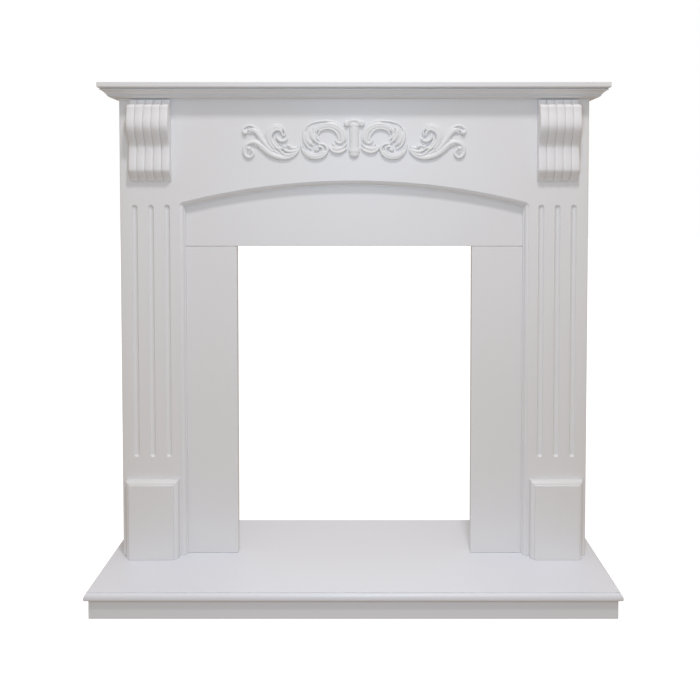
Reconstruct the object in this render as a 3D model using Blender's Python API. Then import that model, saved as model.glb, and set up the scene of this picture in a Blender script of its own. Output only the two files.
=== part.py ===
# Fireplace mantelpiece of white painted board, standing on its own box hearth.
# Metres, +Z up, front towards -Y, origin in the middle of the underside.
import math

import bmesh
import bpy
from mathutils import Vector

# Clearance between neighbouring pieces
GAP = 0.0003
MITRE_GAP = GAP * math.sqrt(2)

# Board stock
FACE_THICKNESS = 0.016
SIDE_THICKNESS = 0.018
INSERT_THICKNESS = 0.018
SLAB_THICKNESS = 0.016
RISER_THICKNESS = 0.018
SHELF_THICKNESS = 0.012
ARRIS = 0.0007

# Hearth
HEARTH_WIDTH = 1.088
HEARTH_DEPTH = 0.380
RISER_HEIGHT = 0.0395
RISER_SETBACK = 0.0080

# Body of the surround
BODY_WIDTH = 1.026
BODY_HEIGHT = 1.030
FACE_SETBACK = 0.1755
LEG_WIDTH = 0.141
ARCH_HEIGHT = 0.8227
ARCH_RISE = 0.0465
FIREBOX_WIDTH = 0.520
FIREBOX_HEIGHT = 0.689
JOINT = 0.0012
HEADER_LAP = 0.050

# Shelf and the moulding under it
SHELF_OVERHANG = 0.037
SHELF_ROUND = 0.004
MOULDING_HEIGHT = 0.0225
MOULDING_REACH = 0.0325
MOULDING_TOP_FILLET = 0.0022
MOULDING_MID_REACH = 0.0212
MOULDING_MID_DROP = 0.0130
MOULDING_MID_FILLET = 0.0024
MOULDING_QUIRK = 0.0018
MOULDING_FOOT_REACH = 0.0028
MOULDING_FOOT = 0.0016

# Worked edge round the arch: a quirk, a quarter round and a fillet
EDGE_WIDTH = 0.0105
EDGE_QUIRK = 0.0022
EDGE_FILLET = 0.0022
EDGE_DEPTH = 0.0105

# Flutes, three to a leg
FLUTE_COUNT = 3
FLUTE_WIDTH = 0.0127
FLUTE_DEPTH = 0.0045
FLUTE_PITCH = 0.0355
FLUTE_FOOT_MARGIN = 0.0489
FLUTE_HEAD_MARGIN = 0.0505
ROW_CENTRE = 0.4455

# Corbels, reeded and of a double curve under a round shoulder
CORBEL_WIDTH = 0.089
CORBEL_HEIGHT = 0.1765
CORBEL_CENTRE = 0.4440
CORBEL_NECK_REACH = 0.0090
CORBEL_SHOULDER_REACH = 0.0285
CORBEL_BULGE_REACH = 0.0345
CORBEL_WAIST_REACH = 0.0130
CORBEL_TOE_REACH = 0.0175
CORBEL_FOOT_REACH = 0.0015
CORBEL_NECK_DROP = 0.0120
CORBEL_SHOULDER_DROP = 0.0175
CORBEL_BULGE_DROP = 0.0550
CORBEL_WAIST_DROP = 0.1050
CORBEL_TOE_DROP = 0.1500
REED_COUNT = 5
REED_RELIEF = 0.0030
REED_FULLNESS = 0.6

# Plinth blocks
BLOCK_WIDTH = 0.115
BLOCK_HEIGHT = 0.173
BLOCK_THICKNESS = 0.022
BLOCK_EDGE_WIDTH = 0.0085
BLOCK_EDGE_QUIRK = 0.0045
BLOCK_EDGE_DEPTH = 0.0135

# Moulded edge of the hearth slab: eased below, a quarter round and a step above
NOSING_WIDTH = 0.0065
NOSING_STEP = 0.0020
NOSING_ROUND = 0.0095
NOSING_EASE = 0.0020
NOSING_EASE_HEIGHT = 0.0035

# Ornament on the frieze, drawn on squares: its length is ORNAMENT_SQUARES of them
ORNAMENT_LENGTH = 0.490
ORNAMENT_SQUARES = 225
ORNAMENT_HEIGHT_SQUARES = 41.7
ORNAMENT_DROP = 0.0395
ORNAMENT_LIFT = 0.0022
VASE_FLATNESS = 0.75

# Fineness of the round work
ROUND_STEPS = 6
ARCH_STEPS = 28
BAR_SIDES = 16
BAR_RINGS = 9
REED_STEPS = 4
SHOULDER_STEPS = 4
BULGE_STEPS = 3
WAIST_STEPS = 6
TOE_STEPS = 3
TUBE_SIDES = 6
VASE_SIDES = 12

# Places that follow from the sizes
BACK_Y = HEARTH_DEPTH / 2
FRONT_Y = -HEARTH_DEPTH / 2
FACE_Y = FRONT_Y + FACE_SETBACK
INSERT_Y = FACE_Y + FACE_THICKNESS + GAP
SLAB_BOTTOM = RISER_HEIGHT + GAP
HEARTH_TOP = SLAB_BOTTOM + SLAB_THICKNESS
BODY_BOTTOM = HEARTH_TOP + GAP
BODY_TOP = BODY_BOTTOM + BODY_HEIGHT
SHELF_BOTTOM = BODY_TOP + GAP
HALF_BODY = BODY_WIDTH / 2
HALF_ARCH = HALF_BODY - LEG_WIDTH
ARCH_CROWN = HEARTH_TOP + ARCH_HEIGHT
ARCH_SPRING = ARCH_CROWN - ARCH_RISE
ARCH_RADIUS = (HALF_ARCH ** 2 + ARCH_RISE ** 2) / (2 * ARCH_RISE)
MOULDING_TOP = SHELF_BOTTOM - GAP
MOULDING_BOTTOM = MOULDING_TOP - MOULDING_HEIGHT
CORBEL_TOP = MOULDING_BOTTOM - GAP
CORBEL_BOTTOM = CORBEL_TOP - CORBEL_HEIGHT
BLOCK_TOP = BODY_BOTTOM + BLOCK_HEIGHT
INNER_SIDE = HALF_BODY - SIDE_THICKNESS - GAP
FIREBOX_TOP = HEARTH_TOP + FIREBOX_HEIGHT
ONLAY_Y = FACE_Y - GAP
SQUARE = ORNAMENT_LENGTH / ORNAMENT_SQUARES
ORNAMENT_FOOT = MOULDING_BOTTOM - ORNAMENT_DROP - ORNAMENT_HEIGHT_SQUARES * SQUARE

# Satin paint: colour, roughness
WHITE_FACE = ((0.78, 0.78, 0.79), 0.38)
WHITE_HEARTH = ((0.82, 0.82, 0.84), 0.34)
WHITE_ORNAMENT = ((0.79, 0.79, 0.79), 0.42)


def clear_scene():
    for thing in list(bpy.data.objects):
        bpy.data.objects.remove(thing, do_unlink=True)


def add_object(name, bm, finish, smooth_angle=None):
    # Closes a bmesh into a named object with its own paint
    bmesh.ops.remove_doubles(bm, verts=bm.verts, dist=0.000002)
    bmesh.ops.recalc_face_normals(bm, faces=bm.faces)
    mesh = bpy.data.meshes.new(name)
    bm.to_mesh(mesh)
    bm.free()
    colour, roughness = finish
    material = bpy.data.materials.new(name + "_paint")
    material.use_nodes = True
    shader = material.node_tree.nodes["Principled BSDF"]
    shader.inputs["Base Color"].default_value = (*colour, 1.0)
    shader.inputs["Roughness"].default_value = roughness
    shader.inputs["Metallic"].default_value = 0.0
    mesh.materials.append(material)
    if smooth_angle is not None:
        mesh.shade_smooth()
        mesh.set_sharp_from_angle(angle=math.radians(smooth_angle))
    piece = bpy.data.objects.new(name, mesh)
    bpy.context.scene.collection.objects.link(piece)
    return piece


def ease_arrises(piece):
    # Takes the sharpness off the outer edges of a board
    bevel = piece.modifiers.new("arris", "BEVEL")
    bevel.width = ARRIS
    bevel.segments = 1
    bevel.limit_method = "ANGLE"
    bevel.angle_limit = math.radians(60)


def board(name, low, high, finish):
    # A plain rectangular board between two opposite corners
    bm = bmesh.new()
    bmesh.ops.create_cube(bm, size=1.0)
    low = Vector(low)
    high = Vector(high)
    middle = (low + high) / 2
    for vertex in bm.verts:
        vertex.co = Vector(c * s for c, s in zip(vertex.co, high - low)) + middle
    ease_arrises(add_object(name, bm, finish))


def quarter_round(start, end, steps, first="across"):
    # Points of a quarter ellipse after start: it leaves start square to the way it meets end
    points = []
    for step in range(1, steps + 1):
        angle = math.pi / 2 * step / steps
        along = math.sin(angle)
        off = 1 - math.cos(angle)
        if first == "across":
            share = (along, off)
        else:
            share = (off, along)
        points.append(tuple(a + (b - a) * s for a, b, s in zip(start, end, share)))
    return points


def shallow_arc(start, end, bulge, steps):
    # Points after start on a shallow curve to end, standing off the chord by bulge at its middle
    points = []
    run = Vector(end) - Vector(start)
    side = Vector((-run.y, run.x)).normalized()
    for step in range(1, steps + 1):
        t = step / steps
        points.append(tuple(Vector(start) + run * t + side * bulge * 4 * t * (1 - t)))
    return points


def worked_board(name, half_width, length, profile, place, finish):
    # A board with one plain edge and a worked edge on the other three sides.
    # The profile runs through the thickness as (inset from the edge, depth) pairs,
    # and place turns (across, from the plain edge, depth) into a position.
    bm = bmesh.new()
    rings = []
    for inset, depth in profile:
        across = half_width - inset
        corners = ((-across, 0), (across, 0), (across, length - inset), (-across, length - inset))
        rings.append([bm.verts.new(place(a, b, depth)) for a, b in corners])
    for lower, upper in zip(rings, rings[1:]):
        for k in range(4):
            bm.faces.new((lower[k], lower[(k + 1) % 4], upper[(k + 1) % 4], upper[k]))
    bm.faces.new(rings[0])
    bm.faces.new(rings[-1])
    return add_object(name, bm, finish, smooth_angle=28)


def build_hearth():
    half = HEARTH_WIDTH / 2
    step_top = SLAB_THICKNESS - NOSING_STEP
    profile = [(NOSING_EASE, 0)]
    profile += quarter_round(profile[-1], (0, NOSING_EASE_HEIGHT), 3)
    profile.append((0, step_top - NOSING_ROUND))
    profile += quarter_round(profile[-1], (NOSING_WIDTH, step_top), ROUND_STEPS, first="up")
    profile.append((NOSING_WIDTH, SLAB_THICKNESS))
    worked_board("hearth_slab", half, HEARTH_DEPTH, profile,
                 lambda a, b, d: (a, BACK_Y - b, SLAB_BOTTOM + d), WHITE_HEARTH)
    riser_half = half - RISER_SETBACK
    riser_front = FRONT_Y + RISER_SETBACK
    side_front = riser_front + RISER_THICKNESS + GAP
    board("hearth_riser_front", (-riser_half, riser_front, 0),
          (riser_half, riser_front + RISER_THICKNESS, RISER_HEIGHT), WHITE_HEARTH)
    for side, sign in (("left", -1), ("right", 1)):
        ends = sorted((sign * riser_half, sign * (riser_half - RISER_THICKNESS)))
        board(f"hearth_riser_{side}", (ends[0], side_front, 0),
              (ends[1], BACK_Y, RISER_HEIGHT), WHITE_HEARTH)


def arch_outline(offset):
    # The edge of the leg opening, left foot to right foot, set back by offset with rounded corners
    points = [(-HALF_ARCH - offset, BODY_BOTTOM)]
    centre_z = ARCH_CROWN - ARCH_RADIUS
    lean = math.asin(HALF_ARCH / ARCH_RADIUS)
    for step in range(ROUND_STEPS + 1):
        angle = math.pi - (math.pi / 2 - lean) * step / ROUND_STEPS
        points.append((-HALF_ARCH + offset * math.cos(angle), ARCH_SPRING + offset * math.sin(angle)))
    for step in range(1, ARCH_STEPS):
        angle = -lean + 2 * lean * step / ARCH_STEPS
        radius = ARCH_RADIUS + offset
        points.append((radius * math.sin(angle), centre_z + radius * math.cos(angle)))
    return points + [(-x, z) for x, z in reversed(points[:ROUND_STEPS + 2])]


def flute_cutter(x, bottom, top):
    # A round bar with round ends that cuts one flute of the named width and depth
    radius = (FLUTE_WIDTH ** 2 / 4 + FLUTE_DEPTH ** 2) / (2 * FLUTE_DEPTH)
    reach = math.sqrt(radius ** 2 - (radius - FLUTE_DEPTH) ** 2)
    half_run = (top - bottom) / 2 - reach
    bm = bmesh.new()
    bmesh.ops.create_uvsphere(bm, u_segments=BAR_SIDES, v_segments=BAR_RINGS, radius=radius)
    for vertex in bm.verts:
        shift = half_run if vertex.co.z > 0 else -half_run
        vertex.co += Vector((x, FACE_Y - (radius - FLUTE_DEPTH), (top + bottom) / 2 + shift))
    return bm


def build_face_board():
    # Frieze and legs in one sheet, with the worked edge round the opening and the flutes
    profile = [(EDGE_WIDTH, 0), (EDGE_WIDTH, EDGE_QUIRK)]
    profile += quarter_round(profile[-1], (EDGE_FILLET, EDGE_DEPTH), ROUND_STEPS)
    profile += [(0, EDGE_DEPTH), (0, FACE_THICKNESS)]
    bm = bmesh.new()
    loops = []
    for offset, depth in profile:
        loops.append([bm.verts.new((x, FACE_Y + depth, z)) for x, z in arch_outline(offset)])
    for outer, inner in zip(loops, loops[1:]):
        for k in range(len(outer) - 1):
            bm.faces.new((outer[k], outer[k + 1], inner[k + 1], inner[k]))
    corners = ((-HALF_BODY, BODY_BOTTOM), (-HALF_BODY, BODY_TOP),
               (HALF_BODY, BODY_TOP), (HALF_BODY, BODY_BOTTOM))
    front = [bm.verts.new((x, FACE_Y, z)) for x, z in corners]
    back = [bm.verts.new((x, FACE_Y + FACE_THICKNESS, z)) for x, z in corners]
    bm.faces.new(front + loops[0][::-1])
    bm.faces.new(back + loops[-1][::-1])
    for k in range(3):
        bm.faces.new((front[k], front[k + 1], back[k + 1], back[k]))
    bm.faces.new([front[0], back[0]] + [loop[0] for loop in reversed(loops)])
    bm.faces.new([front[3], back[3]] + [loop[-1] for loop in reversed(loops)])
    face = add_object("face_board", bm, WHITE_FACE, smooth_angle=28)
    cutters = bmesh.new()
    for sign in (-1, 1):
        for row in range(FLUTE_COUNT):
            x = sign * (ROW_CENTRE + (row - (FLUTE_COUNT - 1) / 2) * FLUTE_PITCH)
            bar = flute_cutter(x, BLOCK_TOP + FLUTE_FOOT_MARGIN, CORBEL_BOTTOM - FLUTE_HEAD_MARGIN)
            bar_mesh = bpy.data.meshes.new("flute_bar")
            bar.to_mesh(bar_mesh)
            bar.free()
            cutters.from_mesh(bar_mesh)
            bpy.data.meshes.remove(bar_mesh)
    cutter = add_object("flute_cutters", cutters, WHITE_FACE)
    cutter.hide_render = True
    cutter.display_type = "WIRE"
    cut = face.modifiers.new("flutes", "BOOLEAN")
    cut.operation = "DIFFERENCE"
    cut.object = cutter


def build_sides_and_inserts():
    side_front = FACE_Y + FACE_THICKNESS + GAP
    insert_back = INSERT_Y + INSERT_THICKNESS
    half_fire = FIREBOX_WIDTH / 2
    for side, sign in (("left", -1), ("right", 1)):
        outer = sorted((sign * HALF_BODY, sign * (HALF_BODY - SIDE_THICKNESS)))
        board(f"side_panel_{side}", (outer[0], side_front, BODY_BOTTOM),
              (outer[1], BACK_Y, BODY_TOP), WHITE_FACE)
        inner = sorted((sign * half_fire, sign * INNER_SIDE))
        board(f"insert_{side}", (inner[0], INSERT_Y, BODY_BOTTOM),
              (inner[1], insert_back, FIREBOX_TOP - JOINT), WHITE_FACE)
    board("insert_header", (-INNER_SIDE, INSERT_Y, FIREBOX_TOP),
          (INNER_SIDE, insert_back, ARCH_CROWN + HEADER_LAP), WHITE_FACE)


def build_shelf():
    profile = [(0, 0), (0, SHELF_THICKNESS - SHELF_ROUND)]
    profile += quarter_round(profile[-1], (SHELF_ROUND, SHELF_THICKNESS), ROUND_STEPS, first="up")
    top = SHELF_BOTTOM + SHELF_THICKNESS
    depth = BACK_Y - FACE_Y + SHELF_OVERHANG
    shelf = worked_board("mantel_shelf", HALF_BODY + SHELF_OVERHANG, depth, profile,
                         lambda a, b, d: (a, BACK_Y - b, top - d), WHITE_FACE)
    ease_arrises(shelf)


def moulding_profile():
    # Section of the moulding as (out from the face, drop under the shelf), back top corner first
    points = [(GAP, 0), (MOULDING_REACH, 0), (MOULDING_REACH, MOULDING_TOP_FILLET)]
    points += shallow_arc(points[-1], (MOULDING_MID_REACH, MOULDING_MID_DROP), 0.0012, ROUND_STEPS)
    ovolo_reach = MOULDING_MID_REACH - MOULDING_QUIRK
    points += [(ovolo_reach, MOULDING_MID_DROP), (ovolo_reach, MOULDING_MID_DROP + MOULDING_MID_FILLET)]
    foot = (MOULDING_FOOT_REACH, MOULDING_HEIGHT - MOULDING_FOOT)
    points += shallow_arc(points[-1], foot, -0.0011, ROUND_STEPS)
    points += [(MOULDING_FOOT_REACH, MOULDING_HEIGHT), (GAP, MOULDING_HEIGHT)]
    return points


def moulding_length(name, start, end):
    # A length of the moulding; start and end turn a profile point into a position
    bm = bmesh.new()
    profile = moulding_profile()
    first = [bm.verts.new(start(out, MOULDING_TOP - drop)) for out, drop in profile]
    last = [bm.verts.new(end(out, MOULDING_TOP - drop)) for out, drop in profile]
    count = len(profile)
    for k in range(count):
        bm.faces.new((first[k], first[(k + 1) % count], last[(k + 1) % count], last[k]))
    bm.faces.new(first)
    bm.faces.new(last)
    add_object(name, bm, WHITE_FACE, smooth_angle=28)


def build_mouldings():
    moulding_length("shelf_moulding_front",
                    lambda out, z: (-HALF_BODY - out, FACE_Y - out, z),
                    lambda out, z: (HALF_BODY + out, FACE_Y - out, z))
    for side, sign in (("left", -1), ("right", 1)):
        moulding_length(f"shelf_moulding_{side}",
                        lambda out, z, s=sign: (s * (HALF_BODY + out), FACE_Y - out + MITRE_GAP, z),
                        lambda out, z, s=sign: (s * (HALF_BODY + out), BACK_Y, z))


def corbel_curve():
    # The grooves of a corbel from top to foot as (reach, drop): neck, shoulder, bulge, waist, toe and foot
    rows = [(CORBEL_NECK_REACH, 0), (CORBEL_NECK_REACH, CORBEL_NECK_DROP)]
    shoulder = (CORBEL_SHOULDER_REACH, CORBEL_SHOULDER_DROP)
    rows += quarter_round(rows[-1], shoulder, SHOULDER_STEPS)[:-1]
    bulge = (CORBEL_BULGE_REACH, CORBEL_BULGE_DROP)
    waist = (CORBEL_WAIST_REACH, CORBEL_WAIST_DROP)
    toe = (CORBEL_TOE_REACH, CORBEL_TOE_DROP)
    foot = (CORBEL_FOOT_REACH, CORBEL_HEIGHT - REED_RELIEF)
    stretches = ((shoulder, bulge, BULGE_STEPS), (bulge, waist, WAIST_STEPS), (waist, toe, TOE_STEPS),
                 (toe, foot, ROUND_STEPS))
    for start, end, steps in stretches:
        for step in range(steps):
            t = step / steps
            ease = (1 - math.cos(math.pi * t)) / 2
            rows.append((start[0] + (end[0] - start[0]) * ease, start[1] + (end[1] - start[1]) * t))
    return rows + [foot, (0, foot[1])]


def build_corbel(name, centre):
    # Full round reeds with narrow grooves, which run over the front and under the foot
    rows = corbel_curve()
    columns = []
    reed = CORBEL_WIDTH / REED_COUNT
    for index in range(REED_COUNT):
        for step in range(REED_STEPS):
            angle = math.pi * step / REED_STEPS
            x = -CORBEL_WIDTH / 2 + reed * (index + (1 - math.cos(angle)) / 2)
            columns.append((x, math.sin(angle) ** REED_FULLNESS))
    columns.append((CORBEL_WIDTH / 2, 0))
    bm = bmesh.new()
    grid = []
    for k, (reach, drop) in enumerate(rows):
        before = Vector(rows[max(k - 1, 0)])
        after = Vector(rows[min(k + 1, len(rows) - 1)])
        run = (after - before).normalized()
        outward = Vector((run.y, -run.x))
        if k == 0:
            outward = Vector((1, 0))
        elif reach <= CORBEL_FOOT_REACH:
            outward = Vector((0, 1))
        line = []
        for x, height in columns:
            out = reach + outward.x * height * REED_RELIEF
            down = drop + outward.y * height * REED_RELIEF
            line.append(bm.verts.new((centre + x, ONLAY_Y - out, CORBEL_TOP - down)))
        grid.append(line)
    for upper, lower in zip(grid, grid[1:]):
        for k in range(len(columns) - 1):
            bm.faces.new((upper[k], upper[k + 1], lower[k + 1], lower[k]))
    left, right = [bm.verts.new((centre + s * CORBEL_WIDTH / 2, ONLAY_Y, CORBEL_TOP)) for s in (-1, 1)]
    bm.faces.new(grid[0] + [right, left])
    bm.faces.new(grid[-1] + [right, left])
    bm.faces.new([line[0] for line in grid] + [left])
    bm.faces.new([line[-1] for line in grid] + [right])
    add_object(name, bm, WHITE_FACE, smooth_angle=40)


def build_corbels_and_blocks():
    profile = [(0, 0), (0, BLOCK_THICKNESS - BLOCK_EDGE_DEPTH)]
    round_end = (BLOCK_EDGE_WIDTH, BLOCK_THICKNESS - BLOCK_EDGE_QUIRK)
    profile += quarter_round(profile[-1], round_end, ROUND_STEPS, first="up")
    profile.append((BLOCK_EDGE_WIDTH, BLOCK_THICKNESS))
    for side, sign in (("left", -1), ("right", 1)):
        centre = sign * ROW_CENTRE
        build_corbel(f"corbel_{side}", sign * CORBEL_CENTRE)
        worked_board(f"plinth_block_{side}", BLOCK_WIDTH / 2, BLOCK_HEIGHT, profile,
                     lambda a, b, d, c=centre: (c + a, ONLAY_Y - d, BODY_BOTTOM + b), WHITE_FACE)


def spiral(centre, radii, angles, steps, squash=1.0, ease=2.0):
    # Points of a volute, its radius closing in by a power of the way round
    points = []
    for step in range(steps + 1):
        t = step / steps
        radius = radii[0] + (radii[1] - radii[0]) * t ** ease
        angle = math.radians(angles[0] + (angles[1] - angles[0]) * t)
        points.append((centre[0] + radius * math.cos(angle), centre[1] + radius * math.sin(angle) * squash))
    return points


def smooth_run(points, steps):
    # A smooth line through the points, with steps between each pair
    line = []
    ends = [points[0]] + list(points) + [points[-1]]
    for a, b, c, d in zip(ends, ends[1:], ends[2:], ends[3:]):
        for step in range(steps):
            t = step / steps
            line.append(tuple(
                0.5 * (2 * q + (r - p) * t + (2 * p - 5 * q + 4 * r - s) * t ** 2
                       + (3 * q - p - 3 * r + s) * t ** 3) for p, q, r, s in zip(a, b, c, d)))
    line.append(tuple(points[-1]))
    return line


def swell(count, start, middle, end):
    # Half widths along a stroke that thickens to its middle
    widths = []
    for k in range(count):
        t = k / (count - 1)
        ends = start + (end - start) * t
        widths.append(ends + (middle - ends) * math.sin(math.pi * t))
    return widths


def half_strokes():
    # The carved strokes of one half: (line, half widths), in squares from the centre line and the foot
    strokes = []
    stem = [(50.5, 12.5), (61, 4.6), (70, 3.0), (79, 4.2), (86, 8.3), (93, 13.3), (99, 15.5)]
    tendril = smooth_run(stem, 2)
    tendril += spiral((104.8, 8.9), (6.5, 2.6), (92, -190), 9, ease=1.3)
    strokes.append((tendril, swell(len(tendril), 1.2, 3.0, 1.5)))
    upper = smooth_run([(83, 9), (90.5, 17.8), (95.6, 24.6), (99.5, 28.4), (104.3, 29.8), (108.5, 29)], 2)
    strokes.append((upper, swell(len(upper), 1.2, 2.8, 1.6)))
    volute = smooth_run([(77, 4), (83.5, 10.5), (87, 18.5)], 3)
    volute += spiral((76.8, 26.3), (10.3, 2.6), (-18, 395), 15)
    strokes.append((volute, swell(len(volute), 1.4, 2.5, 1.6)))
    for line in ([(81, 11), (74, 13), (67, 11.6), (59.5, 14)], [(79, 7), (71, 8.2), (64, 8), (55.5, 11.5)]):
        leaf = smooth_run(line, 2)
        strokes.append((leaf, swell(len(leaf), 1.0, 2.6, 1.0)))
    scroll = smooth_run([(52, 24), (51.2, 17), (49.5, 12)], 3)
    scroll += spiral((38.6, 9.6), (11.6, 2.8), (0, -395), 15, squash=0.64, ease=1.4)
    strokes.append((scroll, swell(len(scroll), 1.2, 2.7, 1.7)))
    ring = spiral((24.8, 22), (13.6, 13.0), (8, 212), 11)
    strokes.append((ring, swell(len(ring), 0.9, 2.2, 1.3)))
    inner_ring = spiral((25.4, 21.6), (11.2, 8.8), (12, 222), 9)
    strokes.append((inner_ring, swell(len(inner_ring), 0.8, 1.9, 0.9)))
    upper_lobe = [(9.5, 15.5), (15.8, 12.2), (24.3, 14.2)]
    lower_lobe = [(3.5, 10), (10.3, 8.2), (18.5, 7.6), (29.5, 11.6)]
    for line in (upper_lobe, lower_lobe):
        lobe = smooth_run(line, 3)
        strokes.append((lobe, swell(len(lobe), 1.1, 2.2, 1.0)))
    for across, up in ((49.3, 26.2), (44.8, 27.7), (40.3, 28.2)):
        leaf = smooth_run([(across, up), (across - 2, up - 8), (across - 7.2, up - 14.2)], 3)
        strokes.append((leaf, swell(len(leaf), 0.8, 2.1, 1.2)))
    return strokes


def half_bosses():
    # Round ends of the volutes in one half: (across, up, radius), in squares
    return ((105.0, 8.4, 3.0), (109.2, 28.3, 3.2), (76.2, 26.6, 2.4), (38.2, 10.2, 2.4), (6.6, 36.4, 2.4))


def add_tube(bm, line, widths, sign):
    # A closed round tube of changing radius along a line on the face of the frieze
    rings = []
    for k, (across, up) in enumerate(line):
        before = Vector(line[max(k - 1, 0)])
        after = Vector(line[min(k + 1, len(line) - 1)])
        run = (after - before).normalized()
        side = Vector((-run.y, run.x))
        radius = widths[k] * SQUARE
        ring = []
        for corner in range(TUBE_SIDES):
            angle = 2 * math.pi * (corner + 0.5) / TUBE_SIDES
            place = Vector((across, up)) * SQUARE + side * radius * math.cos(angle)
            out = radius * math.sin(angle) + ORNAMENT_LIFT
            ring.append(bm.verts.new((sign * place.x, ONLAY_Y - out, ORNAMENT_FOOT + place.y)))
        rings.append(ring)
    for lower, upper in zip(rings, rings[1:]):
        for k in range(TUBE_SIDES):
            following = (k + 1) % TUBE_SIDES
            bm.faces.new((lower[k], lower[following], upper[following], upper[k]))
    bm.faces.new(rings[0])
    bm.faces.new(rings[-1])


def add_boss(bm, across, up, radius, sign):
    made = bmesh.ops.create_uvsphere(bm, u_segments=8, v_segments=6, radius=radius * SQUARE)
    for vertex in made["verts"]:
        vertex.co += Vector((sign * across * SQUARE, ONLAY_Y - ORNAMENT_LIFT, ORNAMENT_FOOT + up * SQUARE))


def add_vase(bm):
    # The upright middle piece: half widths by height, turned and pressed flat
    outline = ((2.8, 1.6), (4.6, 4.6), (8, 6.0), (12, 5.5), (16.5, 4.0), (21.3, 3.1), (25, 3.8), (29, 5.6),
               (32.0, 6.6), (34.5, 7.4), (36.2, 6.2), (38.6, 7.0), (40.6, 5.0), (41.5, 2.0))
    rings = []
    for up, half in outline:
        ring = []
        for k in range(VASE_SIDES):
            angle = 2 * math.pi * (k + 0.5) / VASE_SIDES
            x = half * SQUARE * math.cos(angle)
            out = half * SQUARE * VASE_FLATNESS * math.sin(angle) + ORNAMENT_LIFT
            ring.append(bm.verts.new((x, ONLAY_Y - out, ORNAMENT_FOOT + up * SQUARE)))
        rings.append(ring)
    for lower, upper in zip(rings, rings[1:]):
        for k in range(VASE_SIDES):
            following = (k + 1) % VASE_SIDES
            bm.faces.new((lower[k], lower[following], upper[following], upper[k]))
    bm.faces.new(rings[0])
    bm.faces.new(rings[-1])


def build_ornament():
    # All strokes are one carving: their overlaps are joined and the back is cut flat on the frieze
    bm = bmesh.new()
    for sign in (-1, 1):
        for line, widths in half_strokes():
            add_tube(bm, line, widths, sign)
        for across, up, radius in half_bosses():
            add_boss(bm, across, up, radius, sign)
    add_vase(bm)
    carving = add_object("frieze_ornament", bm, WHITE_ORNAMENT, smooth_angle=50)
    reach = ORNAMENT_LENGTH
    block = bmesh.new()
    bmesh.ops.create_cube(block, size=1.0)
    for vertex in block.verts:
        x, y, z = vertex.co
        vertex.co = (x * 2 * reach, ONLAY_Y + (y - 0.5) * reach, ORNAMENT_FOOT + z * reach)
    keeper = add_object("ornament_front_space", block, WHITE_ORNAMENT)
    keeper.hide_render = True
    keeper.display_type = "WIRE"
    cut = carving.modifiers.new("flat_back", "BOOLEAN")
    cut.operation = "INTERSECT"
    cut.object = keeper
    cut.use_self = True


clear_scene()
build_hearth()
build_face_board()
build_sides_and_inserts()
build_shelf()
build_mouldings()
build_corbels_and_blocks()
build_ornament()
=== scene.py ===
import math

import bmesh
import bpy
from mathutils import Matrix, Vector


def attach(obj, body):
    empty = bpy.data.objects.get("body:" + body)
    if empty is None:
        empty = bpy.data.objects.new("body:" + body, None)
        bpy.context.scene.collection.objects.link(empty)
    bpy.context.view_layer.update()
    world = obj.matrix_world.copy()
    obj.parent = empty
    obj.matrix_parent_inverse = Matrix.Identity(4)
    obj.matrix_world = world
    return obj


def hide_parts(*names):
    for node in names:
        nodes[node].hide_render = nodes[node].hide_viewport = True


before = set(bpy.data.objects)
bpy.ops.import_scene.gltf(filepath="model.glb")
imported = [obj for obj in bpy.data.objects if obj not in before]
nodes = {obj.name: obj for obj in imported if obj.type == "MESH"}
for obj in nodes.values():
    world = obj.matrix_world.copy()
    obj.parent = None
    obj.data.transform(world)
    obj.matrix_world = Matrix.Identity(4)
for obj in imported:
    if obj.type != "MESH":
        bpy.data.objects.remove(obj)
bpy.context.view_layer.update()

# Places that every piece is set out from, in metres, the front towards -Y
plan = {
    "gap": 0.0003,  # between neighbouring pieces
    "weld": 0.000002,  # points closer than this are one
    "near": 0.001,  # how far off a plane still counts as on it
    "facing": 0.9,  # how squarely a face has to look one way to be picked by it
    "back": 0.19,  # the wall's plane
    "faceFront": -0.0145,
    "faceThickness": 0.016,
    "bodyBottom": 0.0561,
    "bodyTop": 1.0861,
    "halfBody": 0.513,
    "rowCentre": 0.4455,  # middle of a leg's flutes and of its plinth block
    "corbelCentre": 0.4440,
}
onlayBack = plan["faceFront"] - plan["gap"]  # back of what is laid on the face board


def clearSelection():
    if bpy.context.mode != "OBJECT":
        bpy.ops.object.mode_set(mode="OBJECT")
    bpy.ops.object.select_all(action="DESELECT")


def choose(*pieces):
    clearSelection()
    for piece in pieces:
        piece.select_set(True)
    bpy.context.view_layer.objects.active = pieces[0]


def joinPieces(pieces):
    choose(*pieces)
    bpy.ops.object.join()
    return bpy.context.object


def openPiece(piece):
    choose(piece)
    bpy.ops.object.mode_set(mode="EDIT")
    bpy.ops.mesh.select_mode(type="FACE")
    bpy.ops.mesh.select_all(action="DESELECT")


def closePiece():
    bpy.ops.object.mode_set(mode="OBJECT")
    bpy.ops.object.select_all(action="DESELECT")


def allFaces(face):
    return True


def pickFaces(piece, wanted):
    mesh = bmesh.from_edit_mesh(piece.data)
    for face in mesh.faces:
        face.select_set(wanted(face))
    bmesh.update_edit_mesh(piece.data)


def pickEdges(piece, wanted):
    bpy.ops.mesh.select_mode(type="EDGE")
    mesh = bmesh.from_edit_mesh(piece.data)
    for edge in mesh.edges:
        edge.select_set(wanted(edge))
    bmesh.update_edit_mesh(piece.data)


def settle(piece):
    # Brings the piece's place and size into its mesh
    choose(piece)
    bpy.ops.object.transform_apply(location=True, rotation=True, scale=True)


def nameIt(piece, name):
    piece.name = name
    piece.data.name = name


def applyModifier(piece, kind, settings):
    choose(piece)
    modifier = piece.modifiers.new("step", kind)
    for key, value in settings.items():
        setattr(modifier, key, value)
    bpy.ops.object.modifier_apply(modifier=modifier.name)


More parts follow.
